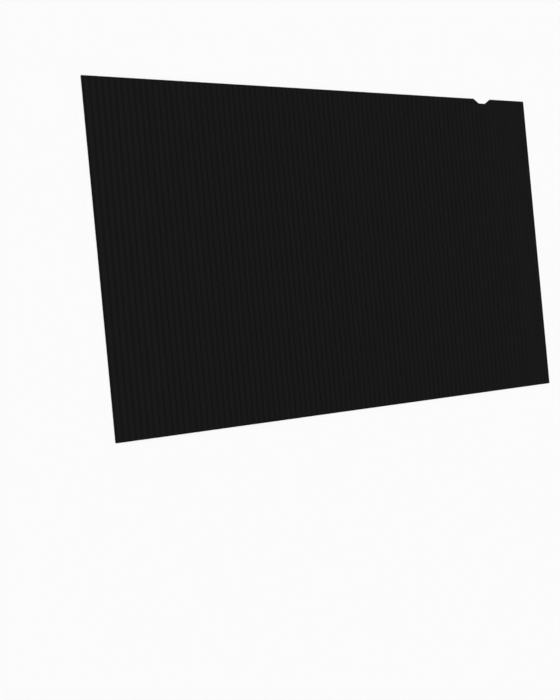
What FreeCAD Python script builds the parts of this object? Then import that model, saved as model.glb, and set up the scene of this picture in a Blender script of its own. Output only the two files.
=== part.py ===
import FreeCAD, Part
import os
import Sketcher

# A privacy filter: one flat, thin sheet of dark louvred film, die-cut to a wide rectangle.
# A shallow finger notch near the right end of the top edge lets a fingertip pull the sheet out.
# The sheet lies on its back face. X runs along its width, Y up its height to the notched edge,
# and +Z out of the front face. The origin is the middle of the back face.

# Driving dimensions in millimetres: alias, value, what it measures
SIZES = (
    ("sheet_width", 531.0, "left side to right side, for the 24-inch 16:9 size"),
    ("sheet_height", 299.0, "bottom edge to top edge"),
    ("sheet_thickness", 0.55, "back face to front face"),
    ("corner_radius", 1.0, "the four outer corners"),
    ("notch_from_side", 63.5, "right side of the sheet to the middle of the notch"),
    ("notch_mouth", 24.0, "width of the notch in the line of the top edge"),
    ("notch_floor", 9.0, "width of the notch along its floor"),
    ("notch_depth", 4.6, "top edge to the floor of the notch"),
    ("lip_radius", 1.0, "where each slanted flank leaves the top edge"),
    ("root_radius", 1.5, "where each slanted flank runs into the floor"),
    ("edge_roll", 0.1, "rounding that the cutting die leaves round the front face"),
)

NODE = "filter_sheet"
ORIGIN_POINT = (-1, 1)  # a sketch's own origin, as constraints name it
SMALL = 1e-6


def make_size_sheet(doc):
    """A spreadsheet with one aliased cell for each driving dimension."""
    sheet = doc.addObject("Spreadsheet::Sheet", "sizes")
    for row, (alias, value, meaning) in enumerate(SIZES, start=1):
        sheet.set(f"A{row}", meaning)
        sheet.set(f"B{row}", str(value))
        sheet.setAlias(f"B{row}", alias)
    doc.recompute()
    return sheet


def sketch_on_plane(body, role, name):
    """An empty sketch on one of the body's own origin planes."""
    plane = next(f for f in body.Origin.OriginFeatures if f.Role == role)
    sketch = body.newObject("Sketcher::SketchObject", name)
    sketch.AttachmentSupport = (plane, [""])
    sketch.MapMode = "FlatFace"
    return sketch


def draw_loop(sketch, points):
    """A closed loop of lines through the points. Returns the lines' numbers in that order."""
    count = len(points)
    for i in range(count):
        start = FreeCAD.Vector(*points[i], 0)
        end = FreeCAD.Vector(*points[(i + 1) % count], 0)
        sketch.addGeometry(Part.LineSegment(start, end), False)
    for i in range(count):
        sketch.addConstraint(Sketcher.Constraint("Coincident", i, 2, (i + 1) % count, 1))
    return range(count)


def bind(sketch, name, kind, places, value, expression):
    """Adds a named dimension to the sketch and ties it to the size sheet."""
    index = sketch.addConstraint(Sketcher.Constraint(kind, *places, value))
    sketch.renameConstraint(index, name)
    sketch.setExpression(f"Constraints.{name}", expression)


def pad_blank(doc, body, size):
    """The rectangular blank, centred on the origin and as thick as the film."""
    right = size.sheet_width / 2
    top = size.sheet_height / 2
    sketch = sketch_on_plane(body, "XY_Plane", "blank_outline")
    corners = ((-right, -top), (right, -top), (right, top), (-right, top))
    bottom_line, right_line, top_line, left_line = draw_loop(sketch, corners)
    for line in (bottom_line, top_line):
        sketch.addConstraint(Sketcher.Constraint("Horizontal", line))
    for line in (right_line, left_line):
        sketch.addConstraint(Sketcher.Constraint("Vertical", line))
    sketch.addConstraint(
        Sketcher.Constraint("Symmetric", bottom_line, 1, top_line, 1, *ORIGIN_POINT)
    )
    bind(sketch, "width", "DistanceX", (bottom_line, 1, bottom_line, 2),
         size.sheet_width, "sizes.sheet_width")
    bind(sketch, "height", "DistanceY", (right_line, 1, right_line, 2),
         size.sheet_height, "sizes.sheet_height")
    pad = body.newObject("PartDesign::Pad", "blank")
    pad.Profile = sketch
    pad.setExpression("Length", "sizes.sheet_thickness")
    doc.recompute()
    return pad


def cut_notch(doc, body, size):
    """The finger notch: a trapezoid, wide at the top edge and narrow at its floor."""
    top = size.sheet_height / 2
    floor = top - size.notch_depth
    middle = size.sheet_width / 2 - size.notch_from_side
    lip = size.notch_mouth / 2
    root = size.notch_floor / 2
    sketch = sketch_on_plane(body, "XY_Plane", "notch_outline")
    corners = ((middle - root, floor), (middle + root, floor),
               (middle + lip, top), (middle - lip, top))
    floor_line, _, mouth_line, _ = draw_loop(sketch, corners)
    centre_line = sketch.addGeometry(
        Part.LineSegment(FreeCAD.Vector(middle, floor, 0), FreeCAD.Vector(middle, top, 0)), True
    )
    sketch.addConstraint(Sketcher.Constraint("Vertical", centre_line))
    for end, line in ((1, floor_line), (2, mouth_line)):
        sketch.addConstraint(Sketcher.Constraint("PointOnObject", centre_line, end, line))
        sketch.addConstraint(Sketcher.Constraint("Symmetric", line, 1, line, 2, centre_line))
    bind(sketch, "middle", "DistanceX", (*ORIGIN_POINT, centre_line, 1),
         middle, "sizes.sheet_width / 2 - sizes.notch_from_side")
    bind(sketch, "top_edge", "DistanceY", (*ORIGIN_POINT, mouth_line, 1),
         top, "sizes.sheet_height / 2")
    bind(sketch, "mouth", "DistanceX", (mouth_line, 2, mouth_line, 1),
         size.notch_mouth, "sizes.notch_mouth")
    bind(sketch, "floor", "DistanceX", (floor_line, 1, floor_line, 2),
         size.notch_floor, "sizes.notch_floor")
    bind(sketch, "depth", "DistanceY", (floor_line, 2, mouth_line, 1),
         size.notch_depth, "sizes.notch_depth")
    pocket = body.newObject("PartDesign::Pocket", "finger_notch")
    pocket.Profile = sketch
    pocket.Type = "ThroughAll"
    pocket.Reversed = True
    doc.recompute()
    return pocket


def check_notch(blank, notch, size):
    """Stops if the notch took out more or less than its own trapezoid of film."""
    area = size.notch_depth * (size.notch_mouth + size.notch_floor) / 2
    expected = area * size.sheet_thickness
    removed = blank.Shape.Volume - notch.Shape.Volume
    if abs(removed - expected) > expected * SMALL:
        raise RuntimeError(f"the notch removed {removed:.4f} mm3, not {expected:.4f}")


def upright_edges(shape, places):
    """Names of the edges that stand along Z at the given places in plan."""
    names = []
    for number, edge in enumerate(shape.Edges, start=1):
        ends = [v.Point for v in edge.Vertexes]
        rise = ends[-1] - ends[0]
        if abs(rise.z) < SMALL or abs(rise.x) + abs(rise.y) > SMALL:
            continue
        if any(abs(ends[0].x - x) + abs(ends[0].y - y) < SMALL for x, y in places):
            names.append(f"Edge{number}")
    if len(names) != len(places):
        raise RuntimeError(f"found {len(names)} upright edges at {len(places)} places")
    return names


def front_edges(shape, height):
    """Names of the edges that bound the front face."""
    return [
        f"Edge{number}"
        for number, edge in enumerate(shape.Edges, start=1)
        if edge.BoundBox.ZMin > height - SMALL
    ]


def round_edges(doc, body, name, base, edges, alias):
    """A fillet on the named edges of the feature before it."""
    fillet = body.newObject("PartDesign::Fillet", name)
    fillet.Base = (base, edges)
    fillet.setExpression("Radius", f"sizes.{alias}")
    doc.recompute()
    return fillet


def build_sheet(doc, size):
    """The whole sheet: blank, notch, rounded corners in plan, then the rolled front edge."""
    body = doc.addObject("PartDesign::Body", NODE)
    body.Label = NODE
    blank = pad_blank(doc, body, size)
    feature = cut_notch(doc, body, size)
    check_notch(blank, feature, size)

    right = size.sheet_width / 2
    top = size.sheet_height / 2
    floor = top - size.notch_depth
    middle = right - size.notch_from_side
    lip = size.notch_mouth / 2
    root = size.notch_floor / 2
    for name, alias, places in (
        ("outer_corners", "corner_radius", [(x, y) for x in (-right, right) for y in (-top, top)]),
        ("notch_lips", "lip_radius", [(middle - lip, top), (middle + lip, top)]),
        ("notch_roots", "root_radius", [(middle - root, floor), (middle + root, floor)]),
    ):
        edges = upright_edges(feature.Shape, places)
        feature = round_edges(doc, body, name, feature, edges, alias)
    rim = front_edges(feature.Shape, size.sheet_thickness)
    body.Tip = round_edges(doc, body, "front_edge_roll", feature, rim, "edge_roll")
    doc.recompute()
    return body


def check_document(doc):
    """Stops if any object failed, or if a sketch is free to move."""
    for obj in doc.Objects:
        faults = [s for s in obj.State if s in ("Invalid", "Error")]
        if faults:
            raise RuntimeError(f"{obj.Name} is {', '.join(faults)}")
        if obj.isDerivedFrom("Sketcher::SketchObject") and not obj.FullyConstrained:
            raise RuntimeError(f"{obj.Name} is not fully constrained")


def write_part(body):
    """Checks the finished solid and writes it to a STEP file named for its node."""
    shape = body.Shape
    if shape.isNull() or not shape.isValid() or len(shape.Solids) != 1:
        raise RuntimeError(f"{body.Label} is not one valid solid")
    os.makedirs("parts", exist_ok=True)
    shape.exportStep(os.path.join("parts", f"{body.Label}.step"))
    box = shape.optimalBoundingBox()
    print(f"{body.Label}: {box.XLength:.2f} x {box.YLength:.2f} x {box.ZLength:.2f} mm,"
          f" {shape.Volume / 1000:.3f} cm3, {len(shape.Faces)} faces")


document = FreeCAD.newDocument("privacy_filter")
sizes = make_size_sheet(document)
sheet_body = build_sheet(document, sizes)
check_document(document)
write_part(sheet_body)
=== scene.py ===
# %% [markdown]
# A privacy filter
#
# The filter is one flat sheet of dark film, about half a millimetre thick. Thousands of tiny black
# louvres stand inside it, so that whatever lies behind it can only be read from straight ahead. It could
# be modelled here as a mesh, but its solid was made beforehand at its real size. So this lesson loads
# that solid, leaves its shape alone, and gives it a finish, a floor, light and a camera.

# %% Load the solid
import math

import bpy
from mathutils import Matrix, Vector


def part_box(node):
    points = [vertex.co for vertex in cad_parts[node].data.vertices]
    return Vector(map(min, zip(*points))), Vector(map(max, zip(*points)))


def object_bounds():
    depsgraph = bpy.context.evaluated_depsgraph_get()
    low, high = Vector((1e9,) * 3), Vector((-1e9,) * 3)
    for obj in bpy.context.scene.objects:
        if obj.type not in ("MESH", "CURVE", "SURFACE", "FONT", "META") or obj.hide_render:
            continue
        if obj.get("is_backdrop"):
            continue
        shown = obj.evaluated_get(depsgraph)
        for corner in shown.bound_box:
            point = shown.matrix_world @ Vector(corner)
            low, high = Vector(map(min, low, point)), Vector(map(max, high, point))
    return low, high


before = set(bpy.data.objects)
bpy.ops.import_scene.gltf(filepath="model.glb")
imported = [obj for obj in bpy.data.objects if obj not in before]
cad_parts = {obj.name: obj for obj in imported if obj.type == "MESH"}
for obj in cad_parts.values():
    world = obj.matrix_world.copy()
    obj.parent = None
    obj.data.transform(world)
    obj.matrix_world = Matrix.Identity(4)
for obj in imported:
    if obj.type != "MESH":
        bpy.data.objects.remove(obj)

MM = 0.001
cad_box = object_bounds()
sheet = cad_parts["filter_sheet"]
low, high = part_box("filter_sheet")
width, height, thickness = high - low
print(f"sheet {width / MM:.1f} x {height / MM:.1f} x {thickness / MM:.2f} mm")

# %% [markdown]
# Helpers for materials
#
# Colours are written as the hex values that a paint program shows. Shaders want linear light, so one
# function converts them. Nodes could be added, set and linked one call at a time, but then the recipe is
# lost among the calls. So a second function adds a node, sets its properties and fills its inputs, each
# with a plain value or a link, and a material reads from top to bottom.

# %% Helpers
def linear(hex_colour):
    """An sRGB hex colour as linear red, green and blue, by the sRGB standard, with full alpha."""
    shares = [int(hex_colour[i:i + 2], 16) / 255 for i in (1, 3, 5)]
    return [s / 12.92 if s <= 0.04045 else ((s + 0.055) / 1.055) ** 2.4 for s in shares] + [1.0]


def add_node(tree, kind, inputs=None, **settings):
    """Adds a node with its settings. Each input is a socket to link from, or a plain value."""
    node = tree.nodes.new(kind)
    for name, value in settings.items():
        setattr(node, name, value)
    for name, value in (inputs or {}).items():
        if isinstance(value, bpy.types.NodeSocket):
            tree.links.new(value, node.inputs[name])
        else:
            node.inputs[name].default_value = value
    return node


def new_material(name):
    """A material with an empty node tree."""
    material = bpy.data.materials.new(name)
    material.use_nodes = True
    material.node_tree.nodes.clear()
    return material, material.node_tree


print("helpers ready; #191919 is", round(linear("#191919")[0], 4), "in linear light")

# %% [markdown]
# The film
#
# Clear and black layers of plastic are fused into a block, and the block is sliced across, so that the
# black layers stand in each thin slice like the slats of a blind. Clear polycarbonate skins are then
# laminated to both sides. The front skin has a fine matte coat against glare, and the back is smoother.
# To the eye all that is a satin near-black. A UV map could place its patterns, but Object coordinates
# need no unwrapping, and on this sheet they are plain metres across, up and through it.

# %% Start the film
film, film_tree = new_material("smoked_polycarbonate_louvre_film")
coordinates = add_node(film_tree, "ShaderNodeTexCoord")
place = coordinates.outputs["Object"]
along = add_node(film_tree, "ShaderNodeSeparateXYZ", {0: place})
print("material", film.name)

# %% [markdown]
# The louvres
#
# Real louvres stand about 0.1 mm apart, too fine for any picture of the whole sheet, so they are drawn
# coarser here, as thin black upright lines with smoky film between them. No two layers of the block are
# quite alike, so slow streaks run along with them. Lines could be cut into the mesh, but they lie inside
# the film, under a flat skin. So a Wave texture gives the lines, a Map Range narrows them, and
# one-dimensional noise across the sheet gives the streaks.

# %% Louvre lines and streaks
LOUVRE_PITCH_DRAWN = 6.0 * MM  # 60 times coarser than the real pitch, or it would not show
BLACK_TO, CLEAR_FROM = 0.05, 0.45  # heights of the wave where a louvre ends and clear film starts
STREAK_WIDTH = 18 * MM
STREAK_DETAIL = 3  # finer layers of noise that are added to the first
STREAK_SHARE = 0.25  # of the whole pattern, the rest being lines
WAVE_PERIOD = 2 * math.pi / 20  # length after which a Wave texture of scale 1 repeats
even_wave = add_node(
    film_tree, "ShaderNodeTexWave", {"Vector": place, "Scale": WAVE_PERIOD / LOUVRE_PITCH_DRAWN},
    wave_type="BANDS", bands_direction="X", wave_profile="SIN",
).outputs["Fac"]
clear_gaps = add_node(
    film_tree, "ShaderNodeMapRange", {"Value": even_wave, "From Min": BLACK_TO, "From Max": CLEAR_FROM},
    interpolation_type="SMOOTHSTEP",
).outputs["Result"]
streaks = add_node(
    film_tree, "ShaderNodeTexNoise",
    {"W": along.outputs["X"], "Scale": 1 / STREAK_WIDTH, "Detail": STREAK_DETAIL}, noise_dimensions="1D",
).outputs["Fac"]
clearness = add_node(
    film_tree, "ShaderNodeMix", {"Factor": STREAK_SHARE, "A": clear_gaps, "B": streaks}, data_type="FLOAT"
).outputs["Result"]
print(f"louvres drawn every {LOUVRE_PITCH_DRAWN / MM:.1f} mm, streaks {STREAK_WIDTH / MM:.0f} mm wide")

# %% [markdown]
# The colour of the faces
#
# Seen at a slant the film is nearly black, a little blacker on a louvre than beside it. A Color Ramp
# could hold both colours, but a Mix node between two named ones is easier to read and to change.

# %% Face colour
LOUVRE_BLACK = linear("#0b0b0b")
SMOKY_GAP = linear("#151515")
COLOUR_A, COLOUR_B, COLOUR_OUT = 6, 7, 2  # a Mix node's colour sockets share names with its others
face_colour = add_node(
    film_tree, "ShaderNodeMix",
    {"Factor": clearness, COLOUR_A: LOUVRE_BLACK, COLOUR_B: SMOKY_GAP}, data_type="RGBA",
).outputs[COLOUR_OUT]
print(f"face colour from {LOUVRE_BLACK[0]:.4f} to {SMOKY_GAP[0]:.4f} of white")

# %% [markdown]
# The cut edge
#
# A steel die pressed the sheet out of a wider roll. Where it sheared the plastic, round the outline and
# in the finger notch, the thin wall is frosted: a little paler and duller than the faces. The walls could
# be selected and given a material of their own, but they are the only faces that look sideways. So the
# shader tells them apart by their normal, and the rolled front edge shades from one to the other.

# %% Cut edge
CUT_EDGE = linear("#262626")
WALL_LIMIT, FACE_LIMIT = 0.4, 0.9  # upward share of the normal on a wall, and on a face
facing = add_node(film_tree, "ShaderNodeSeparateXYZ", {0: coordinates.outputs["Normal"]}).outputs["Z"]
upward_share = add_node(film_tree, "ShaderNodeMath", {0: facing}, operation="ABSOLUTE").outputs["Value"]
cut_wall = add_node(
    film_tree, "ShaderNodeMapRange",
    {"Value": upward_share, "From Min": WALL_LIMIT, "From Max": FACE_LIMIT, "To Min": 1, "To Max": 0},
).outputs["Result"]
film_colour = add_node(
    film_tree, "ShaderNodeMix", {"Factor": cut_wall, COLOUR_A: face_colour, COLOUR_B: CUT_EDGE},
    data_type="RGBA",
).outputs[COLOUR_OUT]
print(f"cut edge at {CUT_EDGE[0]:.4f} of white")

# %% [markdown]
# The matte coat
#
# The anti-glare coat on the front is a fine grain that blurs reflections, and the bare back reflects more
# sharply. The two faces could have a material each, but their height in the sheet already tells them
# apart. So roughness is mapped from that height, with a little of the grain mixed in. The grain is drawn
# coarser than the real one, or it would not show.

# %% Grain and roughness
GRAIN_DRAWN = 0.8 * MM  # the real grain is some hundredths of a millimetre
GRAIN_DETAIL = 2
FRONT_ROUGHNESS = 0.36
BACK_ROUGHNESS = 0.20
CUT_ROUGHNESS = 0.60
GRAIN_IN_ROUGHNESS = 0.10
grain = add_node(
    film_tree, "ShaderNodeTexNoise", {"Vector": place, "Scale": 1 / GRAIN_DRAWN, "Detail": GRAIN_DETAIL}
).outputs["Fac"]
side_roughness = add_node(
    film_tree, "ShaderNodeMapRange",
    {"Value": along.outputs["Z"], "From Min": low.z, "From Max": high.z,
     "To Min": BACK_ROUGHNESS - GRAIN_IN_ROUGHNESS / 2,
     "To Max": FRONT_ROUGHNESS - GRAIN_IN_ROUGHNESS / 2},
).outputs["Result"]
face_roughness = add_node(
    film_tree, "ShaderNodeMath", {0: grain, 1: GRAIN_IN_ROUGHNESS, 2: side_roughness},
    operation="MULTIPLY_ADD",
).outputs["Value"]
roughness = add_node(
    film_tree, "ShaderNodeMix", {"Factor": cut_wall, "A": face_roughness, "B": CUT_ROUGHNESS},
    data_type="FLOAT",
).outputs["Result"]
print(f"roughness {FRONT_ROUGHNESS} in front, {BACK_ROUGHNESS} behind, {CUT_ROUGHNESS} on the cut edge")

# %% [markdown]
# The relief of the skin
#
# No laminated sheet is quite even: long shallow waves run under the grain, and the louvres leave a faint
# ripple. Displacement would need a mesh of millions of faces for so little, so three Bump nodes only turn
# the normal that the light meets. They are chained, and each has its own rise in millimetres, so that
# each can be judged by itself.

# %% Waves and bump
WAVE_LENGTH = 120 * MM
WAVE_DETAIL = 1
WAVE_RISE = 0.15 * MM
GRAIN_RISE = 0.01 * MM
LOUVRE_RISE = 0.008 * MM
waves = add_node(
    film_tree, "ShaderNodeTexNoise", {"Vector": place, "Scale": 1 / WAVE_LENGTH, "Detail": WAVE_DETAIL}
).outputs["Fac"]
waved = add_node(film_tree, "ShaderNodeBump", {"Strength": 1, "Distance": WAVE_RISE, "Height": waves})
grained = add_node(
    film_tree, "ShaderNodeBump",
    {"Strength": 1, "Distance": GRAIN_RISE, "Height": grain, "Normal": waved.outputs["Normal"]},
)
rippled = add_node(
    film_tree, "ShaderNodeBump",
    {"Strength": 1, "Distance": LOUVRE_RISE, "Height": clear_gaps, "Normal": grained.outputs["Normal"]},
)
print(f"waves rise {WAVE_RISE / MM:.2f} mm over {WAVE_LENGTH / MM:.0f} mm")

# %% [markdown]
# Putting the film together
#
# Polycarbonate has an IOR of 1.58, and the coat takes part of the reflection away, so the specular level
# is lower than the usual 0.5. Each face lets nearly a tenth of the light through, so the whole sheet passes
# a little under one part in a hundred. That is a plain Alpha, which other programs read too. Glass
# transmission would also do, but the film is too thin to bend light, and not every program reads it. The
# sheet keeps its own mesh and takes this material in its slot.

# %% Film shader
POLYCARBONATE_IOR = 1.58
COATED_SPECULAR = 0.3
SEE_THROUGH = 0.09  # share of the light that passes each face
film_shader = add_node(
    film_tree, "ShaderNodeBsdfPrincipled",
    {"Base Color": film_colour, "Roughness": roughness, "Normal": rippled.outputs["Normal"],
     "IOR": POLYCARBONATE_IOR, "Specular IOR Level": COATED_SPECULAR, "Alpha": 1 - SEE_THROUGH},
)
add_node(film_tree, "ShaderNodeOutputMaterial", {"Surface": film_shader.outputs["BSDF"]})
for slot in sheet.material_slots:
    slot.material = film
print("film on", len(sheet.material_slots), "slot of", sheet.name)

# %% [markdown]
# The floor
#
# A plain pale floor, wide enough to fill the view from any angle above it. Its material is matte white
# paper, which spreads light evenly and mirrors nothing. A curved backdrop would also do, but a flat sheet
# needs no wall behind it. The floor lies a hair below the film: two faces at the very same depth would
# flicker through each other, because the film lets some light by.

# %% Floor
FLOOR_REACH = 60.0  # metres from its middle to each side
FLOOR_DROP = 0.05 * MM
PAPER_WHITE = linear("#fcfcfc")
PAPER_ROUGHNESS = 0.9
SQUARE = ((-1, -1), (1, -1), (1, 1), (-1, 1))  # anticlockwise, so that the floor faces up
floor_corners = [(x * FLOOR_REACH, y * FLOOR_REACH, low.z - FLOOR_DROP) for x, y in SQUARE]
floor_mesh = bpy.data.meshes.new("floor")
floor_mesh.from_pydata(floor_corners, [], [(0, 1, 2, 3)])
floor = bpy.data.objects.new("floor", floor_mesh)
bpy.context.scene.collection.objects.link(floor)
floor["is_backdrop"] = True
paper, paper_tree = new_material("matte_white_paper")
paper_shader = add_node(
    paper_tree, "ShaderNodeBsdfPrincipled",
    {"Base Color": PAPER_WHITE, "Roughness": PAPER_ROUGHNESS, "Specular IOR Level": 0},
)
add_node(paper_tree, "ShaderNodeOutputMaterial", {"Surface": paper_shader.outputs["BSDF"]})
floor_mesh.materials.append(paper)
print("floor", 2 * FLOOR_REACH, "m wide")

# %% [markdown]
# The surroundings
#
# A dark sheet shows mostly what it reflects. One even grey all round would lay a veil over it, so the
# surroundings are pale at the horizon, where they meet the floor, and dark overhead, like a white studio
# with a dark ceiling. How steeply a ray rises says which of the two it meets.

# %% Surroundings
HORIZON = linear("#fbfbfb")
CEILING = linear("#3f3f3f")
PALE_TO, DARK_FROM = 0.03, 0.30  # upward share of a ray where the horizon ends and the ceiling starts
world = bpy.data.worlds.new("studio")
bpy.context.scene.world = world
world.use_nodes = True
world_tree = world.node_tree
world_tree.nodes.clear()
ray = add_node(world_tree, "ShaderNodeTexCoord").outputs["Generated"]
ray_rise = add_node(world_tree, "ShaderNodeSeparateXYZ", {0: ray}).outputs["Z"]
overhead = add_node(
    world_tree, "ShaderNodeMapRange",
    {"Value": ray_rise, "From Min": PALE_TO, "From Max": DARK_FROM}, interpolation_type="SMOOTHSTEP",
).outputs["Result"]
sky = add_node(
    world_tree, "ShaderNodeMix",
    {"Factor": overhead, COLOUR_A: HORIZON, COLOUR_B: CEILING}, data_type="RGBA",
).outputs[COLOUR_OUT]
surroundings = add_node(world_tree, "ShaderNodeBackground", {"Color": sky, "Strength": 1})
add_node(world_tree, "ShaderNodeOutputWorld", {"Surface": surroundings.outputs["Background"]})
print(f"horizon at {HORIZON[0]:.3f} of white, ceiling at {CEILING[0]:.3f}")

# %% [markdown]
# The lamps
#
# Two lamps stand high on the camera's own side, from where the sheet throws their reflection away from it.
# Area lamps close by would leave the floor patchy. Sun lamps light all of it alike, and a disc many times
# wider than the real sun's keeps their light soft.

# %% Lamps
LAMPS = (
    # name, direction towards the lamp, strength, width of its disc in degrees
    ("key_lamp", (-0.45, -0.33, 0.83), 2.0, 20),
    ("fill_lamp", (-0.34, 0.42, 0.84), 1.45, 20),
)
for name, toward, strength, disc in LAMPS:
    lamp_data = bpy.data.lights.new(name, "SUN")
    lamp_data.energy = strength
    lamp_data.angle = math.radians(disc)
    lamp = bpy.data.objects.new(name, lamp_data)
    lamp.rotation_euler = Vector(toward).to_track_quat("Z", "Y").to_euler()
    bpy.context.scene.collection.objects.link(lamp)
    print(name, "strength", strength)

# %% [markdown]
# The camera
#
# The photograph was taken from the left, a little below the middle of the sheet, with the notched edge at
# the top. The sheet lies flat here, so the same view looks down on it. A Track To constraint could aim the
# camera, but it can't lean the picture, so the camera's three axes are worked out here: backward from the
# aim point, to the right across the sheet's own upward direction, and up from those two. The lens is
# given for a 36 mm sensor along the picture's long side. The Standard view transform shows a colour as it
# is written, where Blender's usual one would soften it.

# %% Camera
ON_FRONT_FACE = Vector((0, 0, high.z))
CAMERA_PLACE = Vector((-796.3, -83.4, 914.5)) * MM + ON_FRONT_FACE
AIM_POINT = Vector((-89.4, -87.1, 0.0)) * MM + ON_FRONT_FACE
PICTURE_ROLL = math.radians(-5.4)
LENS, SENSOR = 66.72, 36  # millimetres, the units of Blender's cameras
sheet_upward = Vector((0, 1, 0))
backward = (CAMERA_PLACE - AIM_POINT).normalized()
rightward = sheet_upward.cross(backward).normalized()
upward = backward.cross(rightward)
turn = Matrix((rightward, upward, backward)).transposed().to_4x4()
camera_data = bpy.data.cameras.new("camera")
camera_data.lens = LENS
camera_data.sensor_width = SENSOR
camera = bpy.data.objects.new("camera", camera_data)
camera.matrix_world = Matrix.Translation(CAMERA_PLACE) @ turn @ Matrix.Rotation(PICTURE_ROLL, 4, "Z")
bpy.context.scene.collection.objects.link(camera)
bpy.context.scene.camera = camera
bpy.context.scene.view_settings.view_transform = "Standard"
print(f"camera {(CAMERA_PLACE - AIM_POINT).length:.3f} m from its aim point")

# %% [markdown]
# Last check
#
# A finish must not change an object's size. So the box of the solid as it was loaded and the box of the
# dressed sheet are both taken. The last call then prints how far apart they lie, which shows a solid that
# was moved or changed by mistake.

# %% Finish
visual_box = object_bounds()
changes = [abs(after - before) for b, a in zip(cad_box, visual_box) for before, after in zip(b, a)]
print(f"the sheet's box changed by {max(changes) / MM:.3f} mm at most")
